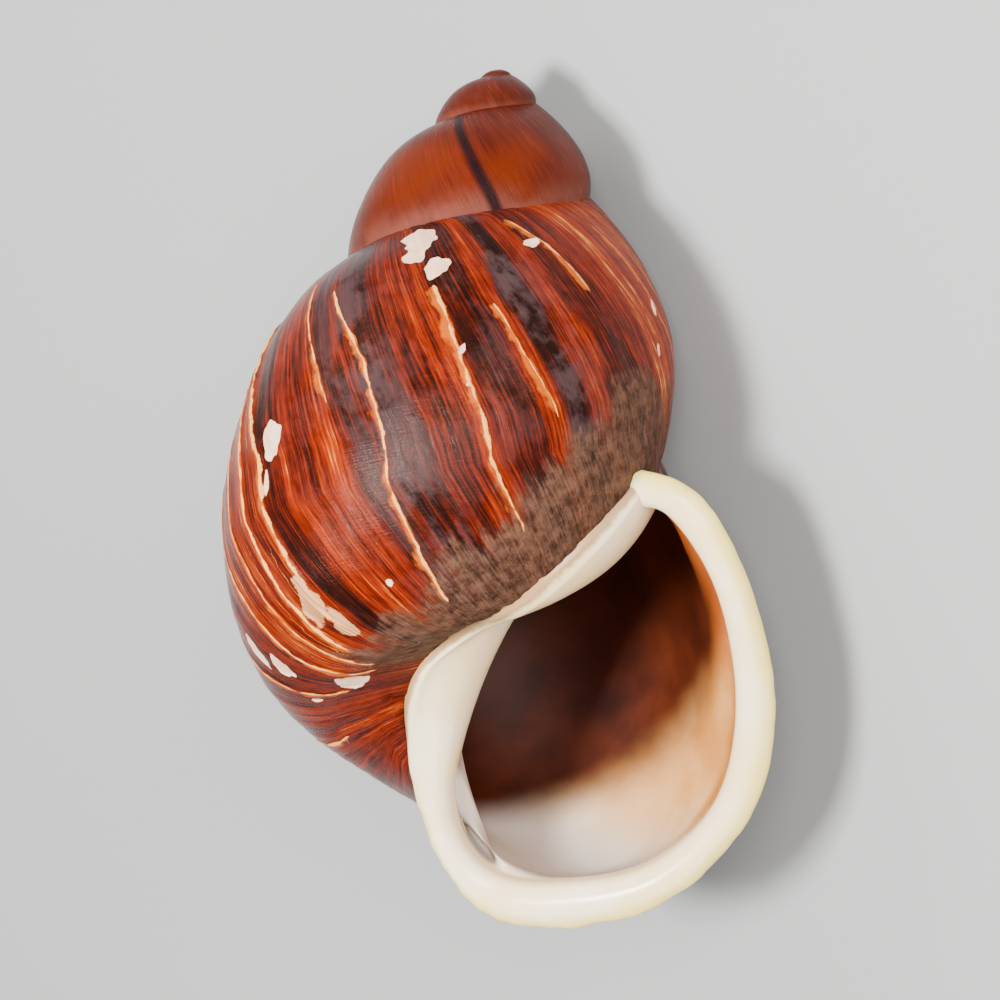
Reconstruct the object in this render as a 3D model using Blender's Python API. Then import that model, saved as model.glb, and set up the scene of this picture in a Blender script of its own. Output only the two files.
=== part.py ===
"""Large land snail shell, coiled to the right, with a thick turned-out lip.

The shell is worked out about its own coiling axis, apex at the top, and is then
laid on its back with the mouth facing up. Lengths are metres. Growth is counted
in turns: 0 at the mouth's shoulder, negative back towards the apex.
"""
import math

import bmesh
import bpy
import numpy as np
from mathutils import Matrix, Vector

TURN = 2 * math.pi

# Growth of the whorls
WHORL_RADIUS = 0.0412         # axis to the periphery of the last whorl
WHORL_DROP = 0.0890           # apex level down to that periphery
RADIUS_GROWTH = (0.400, -0.067, 0.012)
DROP_GROWTH = (0.635, -0.076, 0.0)
NUCLEUS_HEIGHT = 0.0035       # how far the blunt tip is rounded down
NECK_PINCH = 0.0064           # the tube draws in behind the lip
NECK_TURNS = 0.12
BASE_CENTRE = 0.470           # centre of the base curve, in whorl radii
BASE_DEPTH = 0.822            # periphery to base, in whorl radii
BASE_CHANGE = 0.113           # both change by this much per turn
BELLY_DEPTH = 0.175           # extra depth of the whorl that the mouth rests on
BELLY_AT = -0.9
BELLY_TURNS = 0.35
SUTURE_ANGLE = math.radians(101.8)
SUTURE_CLIMB = math.radians(4)
SUTURE_DESCENT = math.radians(17.7)

# Walls
WALL = 0.0014
LUMEN_CLEARANCE = 0.0005      # callus over the whorl inside the tube
COLUMELLA_RADIUS = 0.0030
FIRST_TURN = -4.05
LUMEN_FIRST_TURN = -2.3
BODY_LAST_TURN = -0.3
LUMEN_OVERRUN = 0.02

# Mouth plane, set off the axis
MOUTH_LEVEL = -0.0845
MOUTH_TILT = math.radians(19.5)
MOUTH_SWING = math.radians(-17)
# Outer and inner edges of the lip in the mouth plane, from the top corner
# down the right side and the bottom to the flap over the columella
LIP_OUTER = ((23.4, 28.8), (32.4, 25.0), (39.2, 12.5), (41.9, -3.5), (38.2, -18.0), (27.6, -29.9),
             (12.7, -34.9), (2.2, -33.6), (-4.0, -26.5), (-7.1, -16.5), (-8.8, -5.0))
LIP_INNER = ((22.4, 23.4), (28.2, 22.4), (34.4, 12.5), (36.8, -2.5), (33.8, -16.2), (24.5, -25.6),
             (12.0, -28.9), (3.6, -28.2), (-0.6, -23.0), (-1.1, -15.0), (1.4, -4.5))
# The callus goes on from the flap over the whorl to the top corner
CALLUS_OUTER = ((-8.8, -5.0), (-5.8, 0.4), (2.7, 8.6), (13.7, 16.4), (19.4, 21.4), (24.0, 28.4))
CALLUS_INNER = ((1.4, -4.5), (4.4, 3.6), (8.6, 8.0), (14.6, 11.8), (20.8, 16.2), (24.6, 22.6))
# Where the columella comes down behind the flap and ends inside it
COLUMELLA_IN_MOUTH = ((-3.4, -6.0), (-3.6, -14.0), (-2.4, -21.0), (-0.6, -26.0))
LIP_BULGE = 0.0018            # the lip's face stands out of the mouth plane
FLARE_TURNS = 0.055           # the wall starts to turn out this far behind the lip
SIDE_END = 0.70               # where the free lip runs into the columella
CALLUS_THICKNESS = 0.0034
INNER_LIP_SUNK = 0.0007       # the inner lip is set into what it covers
FLAP_THICKNESS = 0.0046

# Facets and joints of the last wall
RIGHT_SHARE = 0.31            # share of the lip's length at the periphery
BOTTOM_SHARE = 0.60           # and at the base
ROOT_DEPTH = 0.0007           # how deep the last wall is set into the whorl before it
WALL_OVERLAP = -0.295         # the last wall comes to the surface here
WALL_STEPS = 9
FLARE_STEPS = 4
WALL_COLUMNS = 34
INNER_LIP_START = 0.64
LEAVES_BODY = 0.008           # the inner lip follows the whorl behind it up to this far off
RINGS_PER_TURN = 36
UPPER_ROWS = 4
SUTURE_ROWS = 1
LOWER_ROWS = 6
BASE_ROWS = 3

# How the shell lies: the direction that ends up on top, as a bearing about the
# coiling axis and a tip from the plane across it
REST_BEARING = math.radians(222)
REST_TIP = math.radians(-19.2)
REST_FLAT = 0.00025           # depth of the worn flat that it rests on
MILLIMETRE = 0.001
WELD = 0.00003                # points closer than this are one


def growth(turns):
    """Periphery radius and level, base centre radius and base level."""
    def curve(rates):
        return np.exp(rates[0] * turns + rates[1] * turns**2 + rates[2] * turns**3)

    pinch = NECK_PINCH * np.exp(np.minimum(turns, 0) / NECK_TURNS)
    radius = WHORL_RADIUS * curve(RADIUS_GROWTH) - pinch
    level = -np.hypot(WHORL_DROP * curve(DROP_GROWTH), NUCLEUS_HEIGHT)
    belly = BELLY_DEPTH * np.exp(-((turns - BELLY_AT) / BELLY_TURNS)**2)
    base_radius = radius * (BASE_CENTRE - BASE_CHANGE * turns)
    base_level = level - radius * (BASE_DEPTH + BASE_CHANGE * turns + belly)
    return radius, level, base_radius, base_level


def lower_curve(turns, angle, inset=0.0):
    """Quarter ellipse from the periphery (90 degrees) to the base (180)."""
    radius, level, base_radius, base_level = growth(turns)
    out = base_radius + (radius - inset - base_radius) * np.sin(angle)
    down = level + (level - base_level - inset) * np.cos(angle)
    return out, down


def suture_angle(turns):
    """Where the whorl at these turns lands on the one before it."""
    descent = SUTURE_DESCENT * np.exp(np.minimum(turns, 0) / NECK_TURNS)
    return SUTURE_ANGLE + SUTURE_CLIMB * turns + descent


def suture(turns):
    return lower_curve(turns - 1, suture_angle(turns))


def upper_curve(turns, share, start, inset=0.0):
    """Arc from a start point (share 0) to the periphery (share 1)."""
    radius, level, _, _ = growth(turns)
    rest = 1 - share
    return radius - inset - (radius - inset - start[0]) * rest**2, level + (start[1] - level) * rest


def place(out, level, turns):
    """A point of the section in space: the whorls run clockwise from the apex."""
    angle = -TURN * turns
    return np.array([out * math.cos(angle), out * math.sin(angle), level])


def section_point(turns, station):
    """Outer surface: station 0-1 suture to periphery, 1-2 to the base, 2-3 to the axis."""
    if station <= 1:
        out, level = upper_curve(turns, station, suture(turns))
    elif station <= 2:
        out, level = lower_curve(turns, math.pi / 2 * station)
    else:
        _, _, base_radius, level = growth(turns)
        out = base_radius * (3 - station)
    return place(out, level, turns)


def ring_stations(turns):
    """Stations of one ring, with one row on the line of the next suture."""
    next_suture = suture_angle(turns + 1) / (math.pi / 2)
    rows = [row / UPPER_ROWS for row in range(UPPER_ROWS)]
    rows += [1 + (next_suture - 1) * row / SUTURE_ROWS for row in range(SUTURE_ROWS)]
    rows += [next_suture + (2 - next_suture) * row / LOWER_ROWS for row in range(LOWER_ROWS)]
    rows += [2 + row / BASE_ROWS for row in range(BASE_ROWS + 1)]
    return rows


def add_face(mesh, corners):
    """A face from its corners, leaving out those that fall together."""
    unique = [corner for k, corner in enumerate(corners) if corner not in corners[:k]]
    if len(unique) > 2:
        mesh.faces.new(unique)


def spiral_body():
    """The whorls up to BODY_LAST_TURN as one solid, each joined to the last at its suture."""
    mesh = bmesh.new()
    last = round((BODY_LAST_TURN - FIRST_TURN) * RINGS_PER_TURN)
    covered = UPPER_ROWS + SUTURE_ROWS
    full = covered + LOWER_ROWS + BASE_ROWS
    apex = mesh.verts.new(Vector((0, 0, growth(FIRST_TURN)[1] + 0.0006)))
    rings = []
    for ring in range(last + 1):
        turns = FIRST_TURN + ring / RINGS_PER_TURN
        stations = ring_stations(turns)
        rows = full if ring >= last - RINGS_PER_TURN else covered
        first = apex if ring < RINGS_PER_TURN else rings[ring - RINGS_PER_TURN][covered]
        row = [first]
        for k in range(1, rows + 1):
            start = ring == 0 and k < covered
            row.append(apex if start else mesh.verts.new(Vector(section_point(turns, stations[k]))))
        rings.append(row)
    for this, following in zip(rings, rings[1:]):
        for k in range(min(len(this), len(following)) - 1):
            add_face(mesh, [this[k], following[k], following[k + 1], this[k + 1]])
    end = rings[last]
    inner = rings[last - RINGS_PER_TURN]
    axis = [rings[ring][full] for ring in range(last - 1, last - RINGS_PER_TURN, -1)]
    mesh.faces.new(end + axis + inner[:covered:-1])
    return finish_solid(mesh, "body")


def lumen_ring(turns):
    """The hollow of the tube at one growth stage, as a closed ring of points."""
    radius, level, base_radius, base_level = growth(turns)
    wall = min(WALL, 0.13 * radius)
    gap = wall + LUMEN_CLEARANCE
    column = COLUMELLA_RADIUS * min(1.0, (radius / WHORL_RADIUS)**0.8)
    before = growth(turns - 1)
    corner_angle = suture_angle(turns) + 0.09
    corner = lower_curve(turns - 1, corner_angle, -LUMEN_CLEARANCE)
    points = [upper_curve(turns, k / 6, corner, wall) for k in range(6)]
    points += [lower_curve(turns, math.pi / 2 * (1 + k / 6), wall) for k in range(6)]
    floor = base_level + wall
    points += [(base_radius + (column - base_radius) * k / 2, floor) for k in range(2)]
    roof = before[3] - LUMEN_CLEARANCE
    points += [(column, floor + (roof - floor) * k / 4) for k in range(4)]
    points += [(column + (before[2] - column) * k / 2, roof) for k in range(2)]
    points += [lower_curve(turns - 1, math.pi + (corner_angle - math.pi) * k / 4, -LUMEN_CLEARANCE)
               for k in range(4)]
    return [Vector(place(out, down, turns)) for out, down in points]


def lumen():
    """The hollow inside the whorls, run out past the end of the body."""
    steps = round((BODY_LAST_TURN - LUMEN_FIRST_TURN) * RINGS_PER_TURN)
    stages = [LUMEN_FIRST_TURN + k / RINGS_PER_TURN for k in range(steps + 1)]
    stages.append(BODY_LAST_TURN + LUMEN_OVERRUN)
    return loft([lumen_ring(turns) for turns in stages], "lumen")


def loft(rings, name):
    """Closed rings of points joined one after another, with flat ends."""
    mesh = bmesh.new()
    rows = [[mesh.verts.new(point) for point in ring] for ring in rings]
    for this, following in zip(rows, rows[1:]):
        for k in range(len(this)):
            nxt = (k + 1) % len(this)
            mesh.faces.new([this[k], this[nxt], following[nxt], following[k]])
    mesh.faces.new(rows[0])
    mesh.faces.new(rows[-1][::-1])
    return finish_solid(mesh, name)


def finish_solid(mesh, name, flat_faces=True):
    """A mesh object with its faces pointing out, in triangles where they aren't flat."""
    if not flat_faces:
        bmesh.ops.triangulate(mesh, faces=mesh.faces)
    bmesh.ops.recalc_face_normals(mesh, faces=mesh.faces)
    if mesh.calc_volume(signed=True) < 0:
        bmesh.ops.reverse_faces(mesh, faces=mesh.faces)
    data = bpy.data.meshes.new(name)
    mesh.to_mesh(data)
    mesh.free()
    solid = bpy.data.objects.new(name, data)
    bpy.context.collection.objects.link(solid)
    return solid


def mouth_frame():
    """Origin, right, up and facing directions of the mouth plane."""
    origin = np.array([0.0, 0.0, MOUTH_LEVEL])
    right = np.array([math.cos(MOUTH_SWING), math.sin(MOUTH_SWING), 0.0])
    up = np.array([0.0, -math.sin(MOUTH_TILT), math.cos(MOUTH_TILT)])
    up -= right * (up @ right)
    up /= np.linalg.norm(up)
    return origin, right, up, np.cross(right, up)


def on_curve(points, share):
    """A smooth curve through points, share 0 to 1 from the first to the last."""
    points = np.array(points, dtype=float)
    spot = min(max(share, 0.0), 1.0) * (len(points) - 1)
    k = min(int(spot), len(points) - 2)
    f = spot - k
    p1, p2 = points[k], points[k + 1]
    p0 = points[k - 1] if k > 0 else 2 * p1 - p2
    p3 = points[k + 2] if k + 2 < len(points) else 2 * p2 - p1
    return 0.5 * (2 * p1 + (p2 - p0) * f + (2 * p0 - 5 * p1 + 4 * p2 - p3) * f**2
                  + (3 * p1 - p0 - 3 * p2 + p3) * f**3)


def mouth_point(across, lift=0.0):
    """A point given by its millimetres in the mouth plane, raised towards the front."""
    origin, right, up, front = mouth_frame()
    return origin + MILLIMETRE * (across[0] * right + across[1] * up) + lift * front


def mouth_turns(station):
    """Growth stage at which a line of the outer surface meets the mouth plane."""
    origin, _, _, front = mouth_frame()
    low, high = -0.30, 0.30
    for _ in range(40):
        middle = (low + high) / 2
        if (section_point(middle, station) - origin) @ front < 0:
            low = middle
        else:
            high = middle
    return low


def hermite(start, start_pull, end, end_pull, f):
    """A smooth path between two points that leaves and arrives along the pulls."""
    return ((2 * f**3 - 3 * f**2 + 1) * start + (f**3 - 2 * f**2 + f) * start_pull
            + (3 * f**2 - 2 * f**3) * end + (f**3 - f**2) * end_pull)


def side_station(share, turns):
    """Station on the outer surface that a share of the lip grows from."""
    if share <= RIGHT_SHARE:
        return share / RIGHT_SHARE
    if share <= BOTTOM_SHARE:
        return 1 + (share - RIGHT_SHARE) / (BOTTOM_SHARE - RIGHT_SHARE)
    back = min(max((-turns - 0.14) / 0.19, 0.0), 1.0)
    return 2 + (share - BOTTOM_SHARE) / (SIDE_END - BOTTOM_SHARE) * (0.45 + 0.27 * back)


def wall_point(turns, share, inset):
    """A point of the last wall: its root is set into the whorl that it lands on."""
    station = side_station(share, turns)
    if station <= 1:
        root = lower_curve(turns - 1, suture_angle(turns) + 0.02 + 50 * inset, ROOT_DEPTH)
        out, level = upper_curve(turns, station, root, inset)
    elif station <= 2:
        out, level = lower_curve(turns, math.pi / 2 * station, inset)
    else:
        _, _, base_radius, level = growth(turns)
        out = base_radius * (3 - station)
        level += inset
    return place(out, level, turns)


def wall_profile(share):
    """Outer side from deep in the tube to the lip, the lip's face, and back along the inside."""
    flare = mouth_turns(side_station(share, -0.14)) - FLARE_TURNS
    stages = [WALL_OVERLAP + (flare - WALL_OVERLAP) * k / WALL_STEPS for k in range(WALL_STEPS + 1)]
    outer_edge = mouth_point(on_curve(LIP_OUTER, share))
    inner_edge = mouth_point(on_curve(LIP_INNER, share))
    front = mouth_frame()[3]
    spread = outer_edge - inner_edge
    outer = [wall_point(BODY_LAST_TURN - 0.03, share, 0.25 * WALL)]
    outer += [wall_point(turns, share, 0.0) for turns in stages]
    inner = [wall_point(BODY_LAST_TURN - 0.03, share, 0.75 * WALL)]
    inner += [wall_point(turns, share, WALL) for turns in stages]
    for side, inset, edge, pull in ((outer, 0.0, outer_edge, spread), (inner, WALL, inner_edge, front * 0.006)):
        before = wall_point(flare - 0.01, share, inset)
        leave = (side[-1] - before) / np.linalg.norm(side[-1] - before) * np.linalg.norm(edge - side[-1])
        leave *= 0.9 - 0.5 * share / SIDE_END
        start = side[-1]
        side += [hermite(start, leave, edge, pull, k / FLARE_STEPS) for k in range(1, FLARE_STEPS + 1)]
    face = [outer_edge - spread * f + front * LIP_BULGE * math.sin(math.pi * f)**0.7 for f in (0.15, 0.5, 0.85)]
    return outer, face, inner


def mouth_wall():
    """The last third of a turn: a curved wall that turns out into the free lip."""
    mesh = bmesh.new()
    rings = []
    for column in range(WALL_COLUMNS + 1):
        outer, face, inner = wall_profile(SIDE_END * column / WALL_COLUMNS)
        rings.append([[mesh.verts.new(Vector(point)) for point in part] for part in (outer, face, inner)])
    loops = [outer + face + inner[::-1] for outer, face, inner in rings]
    for this, following in zip(loops, loops[1:]):
        for k in range(len(this)):
            nxt = (k + 1) % len(this)
            mesh.faces.new([this[k], this[nxt], following[nxt], following[k]])
    for outer, face, inner in (rings[0], rings[-1]):
        for k in range(len(outer) - 1):
            mesh.faces.new([outer[k], outer[k + 1], inner[k + 1], inner[k]])
        mesh.faces.new([outer[-1]] + face + [inner[-1]])
    return finish_solid(mesh, "mouth wall", flat_faces=False)


def depth_in_body(point):
    """How deep a point in front of the mouth lies in the whorl behind it; negative outside."""
    angle = math.atan2(point[1], point[0])
    turns = -angle / TURN
    while turns > BODY_LAST_TURN:
        turns -= 1
    radius, level, base_radius, base_level = growth(turns)
    fall = (level - point[2]) / (level - base_level)
    reach = base_radius + (radius - base_radius) * math.sqrt(max(0.0, 1 - max(fall, 0.0)**2))
    return min(reach - math.hypot(point[0], point[1]), point[2] - base_level)


def lift_to_body(across):
    """How far in front of the mouth plane the whorl behind lies, fading to 0 where it isn't near."""
    lifts = np.arange(-8, 61) * 0.0005
    depths = np.array([depth_in_body(mouth_point(across, lift)) for lift in lifts])
    near = float(np.clip((depths.max() + LEAVES_BODY) / LEAVES_BODY, 0, 1))
    reached = lifts[depths >= 0].max() if depths.max() >= 0 else lifts[depths.argmax()]
    return max(float(reached), 0.0) * near


def evened(values):
    """A row of values with each one drawn halfway to its neighbours, three times over."""
    row = np.array(values, dtype=float)
    for _ in range(3):
        row[1:-1] = (row[:-2] + 2 * row[1:-1] + row[2:]) / 4
    return row


def inner_lip():
    """The lip turned back over the columella, and the callus from there to the top corner."""
    edges = [(on_curve(LIP_OUTER, share), on_curve(LIP_INNER, share), 1.0)
             for share in np.linspace(INNER_LIP_START, 1, 9)[:-1]]
    edges += [(on_curve(CALLUS_OUTER, share), on_curve(CALLUS_INNER, share), max(0.0, 1 - 3 * share))
              for share in np.linspace(0, 1, 15)]
    outer_lifts = evened([lift_to_body(outer) for outer, _, _ in edges])
    inner_lifts = evened([lift_to_body(inner) for _, inner, _ in edges])
    sides = [(mouth_point(outer, outer_lift), mouth_point(inner, inner_lift), flap)
             for (outer, inner, flap), outer_lift, inner_lift in zip(edges, outer_lifts, inner_lifts)]
    middles = [(outer + inner) / 2 for outer, inner, _ in sides]
    rings = []
    for k, (outer, inner, flap) in enumerate(sides):
        along = middles[min(k + 1, len(sides) - 1)] - middles[max(k - 1, 0)]
        across = (outer - inner) / 2
        raised = np.cross(across, along)
        raised /= np.linalg.norm(raised)
        size = 0.6 if k in (0, len(sides) - 1) else 1.0
        thick = CALLUS_THICKNESS + (FLAP_THICKNESS - CALLUS_THICKNESS) * flap
        sunk = middles[k] - raised * INNER_LIP_SUNK * (1 - flap)
        rings.append([Vector(sunk + size * (across * math.cos(a) + raised * thick / 2 * math.sin(a)))
                      for a in np.linspace(0, TURN, 10, endpoint=False)])
    return loft(rings, "inner lip")


def columella():
    """The pillar that the whorls turn round, bent back to meet the lip."""
    path = [(0, 0, -0.060), (-0.0008, 0.0008, -0.076)]
    path += [tuple(mouth_point(across, -0.0022)) for across in COLUMELLA_IN_MOUTH]
    rings = []
    for step in range(11):
        share = step / 10
        centre = on_curve(path, share)
        along = Vector(on_curve(path, share + 0.02) - on_curve(path, share - 0.02)).normalized()
        side = along.cross(Vector((0, 1, 0))).normalized()
        other = along.cross(side)
        rings.append([Vector(centre) + COLUMELLA_RADIUS * (side * math.cos(a) + other * math.sin(a))
                      for a in np.linspace(0, TURN, 12, endpoint=False)])
    return loft(rings, "columella")


def combine(target, tool, operation):
    """A Boolean applied to the target, after which the tool is removed."""
    modifier = target.modifiers.new(operation, "BOOLEAN")
    modifier.operation = operation
    modifier.solver = "EXACT"
    modifier.object = tool
    shaped = bpy.data.meshes.new_from_object(target.evaluated_get(bpy.context.evaluated_depsgraph_get()))
    target.modifiers.clear()
    mesh = bmesh.new()
    mesh.from_mesh(shaped)
    bmesh.ops.remove_doubles(mesh, verts=mesh.verts, dist=WELD)
    bmesh.ops.dissolve_degenerate(mesh, edges=mesh.edges, dist=WELD)
    mesh.to_mesh(shaped)
    mesh.free()
    old = target.data
    target.data = shaped
    bpy.data.meshes.remove(old)
    bpy.data.objects.remove(tool)


def lay_down(shell):
    """Lay the shell on its back, apex towards +Y, and wear a small flat where it rests."""
    top = Vector((math.cos(REST_BEARING) * math.cos(REST_TIP), math.sin(REST_BEARING) * math.cos(REST_TIP),
                  math.sin(REST_TIP)))
    along = (Vector((0, 0, 1)) - top * top.z).normalized()
    shell.data.transform(Matrix((along.cross(top), along, top)).to_4x4())
    mesh = bmesh.new()
    mesh.from_mesh(shell.data)
    floor = min(vertex.co.z for vertex in mesh.verts) + REST_FLAT
    everything = mesh.verts[:] + mesh.edges[:] + mesh.faces[:]
    cut = bmesh.ops.bisect_plane(mesh, geom=everything, plane_co=(0, 0, floor), plane_no=(0, 0, -1), clear_outer=True)
    rim = [edge for edge in cut["geom_cut"] if isinstance(edge, bmesh.types.BMEdge)]
    bmesh.ops.contextual_create(mesh, geom=rim)
    corners = np.array([vertex.co for vertex in mesh.verts])
    middle = (corners.min(axis=0) + corners.max(axis=0)) / 2
    bmesh.ops.translate(mesh, verts=mesh.verts, vec=(-middle[0], -middle[1], -floor))
    mesh.to_mesh(shell.data)
    mesh.free()


def shell_material():
    material = bpy.data.materials.new("shell")
    material.use_nodes = True
    surface = material.node_tree.nodes["Principled BSDF"]
    surface.inputs["Base Color"].default_value = (0.16, 0.045, 0.018, 1)
    surface.inputs["Roughness"].default_value = 0.35
    surface.inputs["Metallic"].default_value = 0.0
    return material


def build():
    for existing in list(bpy.data.objects):
        bpy.data.objects.remove(existing)
    shell = spiral_body()
    combine(shell, lumen(), "DIFFERENCE")
    combine(shell, mouth_wall(), "UNION")
    combine(shell, columella(), "UNION")
    combine(shell, inner_lip(), "UNION")
    lay_down(shell)
    shell.name = "shell"
    shell.data.name = "shell"
    shell.data.materials.clear()
    shell.data.materials.append(shell_material())
    shell.data.shade_smooth()
    shell.data.set_sharp_from_angle(angle=math.radians(40))


build()
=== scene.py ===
import math

import bpy
import numpy as np
from mathutils import Matrix, Vector


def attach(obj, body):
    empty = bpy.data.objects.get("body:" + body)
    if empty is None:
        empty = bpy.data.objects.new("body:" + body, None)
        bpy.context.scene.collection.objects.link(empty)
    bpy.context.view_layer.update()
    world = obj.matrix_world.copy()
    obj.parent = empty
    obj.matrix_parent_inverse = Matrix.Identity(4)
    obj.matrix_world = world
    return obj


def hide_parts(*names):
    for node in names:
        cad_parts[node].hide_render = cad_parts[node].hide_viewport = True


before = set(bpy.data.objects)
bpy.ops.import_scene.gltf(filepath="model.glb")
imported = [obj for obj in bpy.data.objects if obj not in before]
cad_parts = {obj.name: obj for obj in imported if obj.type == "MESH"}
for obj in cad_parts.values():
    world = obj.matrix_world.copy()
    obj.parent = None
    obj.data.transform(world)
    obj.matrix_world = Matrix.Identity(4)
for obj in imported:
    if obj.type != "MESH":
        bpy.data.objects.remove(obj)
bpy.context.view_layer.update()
print("frame loaded")

# How the shell grows, in millimetres about its coiling axis with the apex up.
# Growth is counted in turns, 0 at the mouth's shoulder and negative towards the apex.
coil = {
    "radius": 41.2, "radiusGrowth": (0.400, -0.067, 0.012),
    "drop": 89.0, "dropGrowth": (0.635, -0.076), "tip": 3.5,
    "neckPinch": 6.4, "neckTurns": 0.12,
    "baseCentre": 0.470, "baseDepth": 0.822, "baseChange": 0.113,
    "belly": 0.175, "bellyAt": -0.9, "bellyTurns": 0.35,
    "sutureAngle": 101.8, "sutureClimb": 4.0, "sutureDescent": 17.7,
    "shoulder": 0.75,  # how full the whorl is below the suture
    "wall": 1.4, "glaze": 0.5, "columella": 3.0, "roofCorner": 0.09,
}
# How it lies: the direction that is on top, and where the top of the axis is, in metres
lying = {"bearing": 222.0, "tip": -19.2, "axisTop": (-0.00054, 0.05978, 0.01021)}
# The mouth plane, set off the axis, in millimetres and degrees
mouth = {"level": -84.5, "tilt": 19.5, "swing": -17.0}


def whorl(t):  # widest radius and its level, then radius and level of the base
    pinch = coil["neckPinch"] * np.exp(np.minimum(t, 0) / coil["neckTurns"])
    a, b, c = coil["radiusGrowth"]
    radius = coil["radius"] * np.exp(a * t + b * t**2 + c * t**3) - pinch
    a, b = coil["dropGrowth"]
    level = -np.hypot(coil["drop"] * np.exp(a * t + b * t**2), coil["tip"])
    belly = coil["belly"] * np.exp(-((t - coil["bellyAt"]) / coil["bellyTurns"])**2)
    baseRadius = radius * (coil["baseCentre"] - coil["baseChange"] * t)
    baseLevel = level - radius * (coil["baseDepth"] + coil["baseChange"] * t + belly)
    return radius, level, baseRadius, baseLevel


def lowerCurve(t, angle, grow=0.0):  # from the widest part down to the base
    radius, level, baseRadius, baseLevel = whorl(t)
    out = baseRadius + (radius + grow - baseRadius) * np.sin(angle)
    down = level + (level - baseLevel + grow) * np.cos(angle)
    return out, down


def sutureAngle(t):  # where on the whorl before this one starts
    descent = coil["sutureDescent"] * np.exp(np.minimum(t, 0) / coil["neckTurns"])
    return np.radians(coil["sutureAngle"] + coil["sutureClimb"] * t + descent)


def around(out, down, t):  # a place off the axis, wound to its turn
    turn = -2 * math.pi * t
    return np.stack([out * np.cos(turn), out * np.sin(turn), down + 0 * turn], axis=-1)


def skinPoint(t, s):  # s runs 0 suture, 1 periphery, 2 base, 3 axis
    radius, level, baseRadius, baseLevel = whorl(t)
    startOut, startDown = lowerCurve(t - 1, sutureAngle(t))
    rest = 1 - np.clip(s, 0, 1)
    lowOut, lowDown = lowerCurve(t, math.pi / 2 * np.clip(s, 1, 2))
    fullness = coil["shoulder"] * (1 - np.cos(2 * math.pi * t)) * (1 - rest) * rest**4
    out = np.where(s <= 1, radius - (radius - startOut) * (rest**2 - fullness), lowOut)
    down = np.where(s <= 1, level + (startDown - level) * rest, lowDown)
    out = np.where(s > 2, baseRadius * (3 - s), out)
    down = np.where(s > 2, baseLevel, down)
    return around(out, down, t)


def unit(rows):
    return rows / np.maximum(np.linalg.norm(rows, axis=-1, keepdims=True), 1e-9)


def skinNormal(t, s):
    s = np.clip(s, 0.002, 2.95)
    along = skinPoint(t + 0.001, s) - skinPoint(t - 0.001, s)
    down = skinPoint(t, s + 0.001) - skinPoint(t, s - 0.001)
    return unit(np.cross(along, down))


def smooth(x, low, high):
    f = np.clip((x - low) / (high - low), 0, 1)
    return f * f * (3 - 2 * f)


def grain(x, y, seed):  # smooth noise between -1 and 1
    i, j = np.floor(x), np.floor(y)

    def corner(a, b):
        h = np.sin(a * 127.1 + b * 311.7 + seed * 74.7) * 43758.5453
        return 2 * (h - np.floor(h)) - 1

    fx, fy = x - i, y - j
    fx, fy = fx * fx * (3 - 2 * fx), fy * fy * (3 - 2 * fy)
    top = corner(i, j) * (1 - fx) + corner(i + 1, j) * fx
    low = corner(i, j + 1) * (1 - fx) + corner(i + 1, j + 1) * fx
    return top * (1 - fy) + low * fy


def mouthAxes():  # origin, right, up and front of the mouth plane
    origin = np.array([0.0, 0.0, mouth["level"]])
    swing, tilt = math.radians(mouth["swing"]), math.radians(mouth["tilt"])
    right = np.array([math.cos(swing), math.sin(swing), 0.0])
    up = np.array([0.0, -math.sin(tilt), math.cos(tilt)])
    up = unit(up - right * (up @ right))
    return origin, right, up, np.cross(right, up)


mouthOrigin, mouthRight, mouthUp, mouthFront = mouthAxes()


def inMouth(across, height, lift=0.0):
    across, height, lift = np.broadcast_arrays(across, height, lift)
    return (mouthOrigin + across[..., None] * mouthRight + height[..., None] * mouthUp
            + lift[..., None] * mouthFront)


def mouthTurns(s):  # growth at which a line of the skin reaches the mouth plane
    s = np.minimum(s, 2.45)
    low, high = np.full_like(s, -0.30), np.full_like(s, 0.30)
    for _ in range(30):
        middle = (low + high) / 2
        behind = (skinPoint(middle, s) - mouthOrigin) @ mouthFront < 0
        low, high = np.where(behind, middle, low), np.where(behind, high, middle)
    return low


def lineLean(s):  # how growth lines lean back from the suture down
    return -0.122 * np.maximum(s, 1e-6)**0.6 - 0.06 * np.maximum(0, s - 1.15)


mouthStart = float(mouthTurns(np.array([0.0]))[0])


def growthTurns(line, s):  # growth lines follow the lip near the mouth
    near = smooth(line, -0.35, 0.06)
    return line + (1 - near) * lineLean(s) + near * (mouthTurns(s) - mouthStart)


def throughPoints(p0, p1, p2, p3, f):  # from p1 to p2, easing past p0 and p3
    return 0.5 * (2 * p1 + (p2 - p0) * f + (2 * p0 - 5 * p1 + 4 * p2 - p3) * f**2
                  + (3 * p1 - p0 - 3 * p2 + p3) * f**3)


def bend(start, leave, end, arrive, f):  # from start to end, leaving and arriving along two ways
    return ((2 * f**3 - 3 * f**2 + 1) * start + (f**3 - 2 * f**2 + f) * leave
            + (3 * f**2 - 2 * f**3) * end + (f**3 - f**2) * arrive)


def smoothCurve(points, f):  # through points, f from 0 to 1
    points = np.asarray(points, dtype=float)
    spot = np.clip(f, 0, 1) * (len(points) - 1)
    last = len(points) - 1
    k = np.minimum(spot.astype(int), last - 1)
    f = (spot - k)[..., None]
    p1, p2 = points[k], points[k + 1]
    p0 = np.where(k[..., None] > 0, points[np.maximum(k - 1, 0)], 2 * p1 - p2)
    p3 = np.where(k[..., None] + 1 < last, points[np.minimum(k + 2, last)], 2 * p2 - p1)
    return throughPoints(p0, p1, p2, p3, f)


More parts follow.
